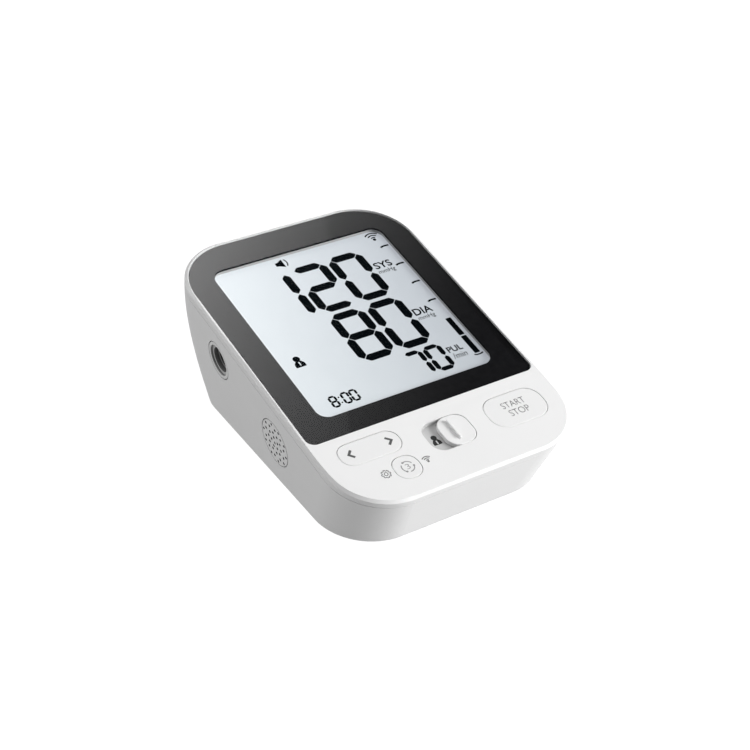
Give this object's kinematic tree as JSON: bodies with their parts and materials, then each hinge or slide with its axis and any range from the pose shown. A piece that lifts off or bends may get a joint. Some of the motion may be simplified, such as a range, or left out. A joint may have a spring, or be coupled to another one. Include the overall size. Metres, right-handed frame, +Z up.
{
  "type": "upper arm blood pressure monitor",
  "caption": "Desktop upper arm blood pressure monitor with a large sloping display, push keys, a user slide switch, a speaker grille and a side air jack.",
  "frame": {"origin": "centre of the footprint, on the surface the feet stand on", "axes": "+Z up, front and keys towards -Y, +X to the right as the user reads the display"},
  "size_m": [0.1002, 0.145, 0.0575],
  "materials": {
    "white_shell": "fine satin white ABS",
    "white_keys": "satin white ABS caps",
    "lens_clear": "polished clear acrylic",
    "mask_black": "black printed film",
    "tape_black": "foam tape",
    "lcd": "pale reflective display",
    "lightguide": "milky diffuser",
    "zebra": "pink silicone strip",
    "frame_white": "white holder",
    "board_green": "solder mask",
    "chip_black": "moulded epoxy",
    "shield_tin": "tinned shield can",
    "steel": "zinc plated",
    "spring_steel": "nickel plated",
    "black_plastic": "moulded",
    "jack_grey": "light grey moulded",
    "cone_paper": "pressed paper",
    "magnet": "sintered",
    "gasket": "foam ring",
    "cell_wrap": "printed sleeve",
    "foot_rubber": "light grey rubber",
    "motor_steel": "drawn can",
    "pump_black": "glass filled nylon",
    "sleeve_rubber": "damping sleeve",
    "tube_silicone": "translucent silicone",
    "wire_red": "insulated wire"
  },
  "bodies": {
    "case": {"upper_case": "white_shell", "lower_case": "white_shell", "display_lens": "lens_clear", "lens_mask": "mask_black", "lens_tape": "tape_black", "lcd_panel": "lcd", "lcd_backlight": "lightguide", "lcd_connector_strip": "zebra", "lcd_frame": "frame_white", "main_board": "board_green", "board_screws": "steel", "board_chips": "chip_black", "radio_module": "shield_tin", "push_switches": "black_plastic", "switch_domes": "spring_steel", "slide_switch": "shield_tin", "air_jack": "jack_grey", "speaker_grille": "white_shell", "speaker_basket": "steel", "speaker_cone": "cone_paper", "speaker_magnet": "magnet", "speaker_gasket": "gasket", "battery_cells": "cell_wrap", "battery_springs": "spring_steel", "battery_contacts": "spring_steel", "rubber_feet": "foot_rubber", "case_screws": "steel", "pump_motor": "motor_steel", "pump_head": "pump_black", "pump_sleeve": "sleeve_rubber", "exhaust_valve": "black_plastic", "pressure_sensor": "black_plastic", "air_manifold": "black_plastic", "jack_tube": "tube_silicone", "pump_tube": "tube_silicone", "valve_tube": "tube_silicone", "sensor_tube": "tube_silicone", "pump_leads": "wire_red", "speaker_leads": "wire_red", "battery_leads": "wire_red"},
    "start_stop": {"start_stop_button": "white_keys"},
    "average": {"average_button": "white_keys"},
    "arrow_keys": {"arrow_rocker": "white_keys"},
    "user_switch": {"user_slider": "white_keys", "slider_retainer": "black_plastic", "slide_switch_lever": "black_plastic"},
    "battery_cover": {"battery_door": "white_shell"},
    "pump_rotor": {"pump_crank": "steel"}
  },
  "joints": [
    {"name": "start_stop_press", "type": "slide", "parent": "case", "child": "start_stop", "axis": [0, 0.2079, -0.9781], "range_m": [0, 0.0008], "stiffness_N_per_m": 800, "springref_m": -0.0005},
    {"name": "average_press", "type": "slide", "parent": "case", "child": "average", "axis": [0, 0.2079, -0.9781], "range_m": [0, 0.0008], "stiffness_N_per_m": 800, "springref_m": -0.0005},
    {"name": "arrow_keys_tilt", "type": "hinge", "parent": "case", "child": "arrow_keys", "pos_m": [-0.02975, -0.04639, 0.0293], "axis": [0, 0.9781, 0.2079], "range_deg": [-2.5, 2.5], "stiffness_Nm_per_rad": 0.3},
    {"name": "user_switch_slide", "type": "slide", "parent": "case", "child": "user_switch", "axis": [-1, 0, 0], "range_m": [0, 0.0064]},
    {"name": "battery_cover_removal", "type": "slide", "parent": "case", "child": "battery_cover", "axis": [0, 0, -1], "range_m": [0, 0.03]},
    {"name": "pump_spin", "type": "hinge", "parent": "case", "child": "pump_rotor", "pos_m": [0, 0.04166, 0.0168], "axis": [1, 0, 0], "continuous": true}
  ]
}
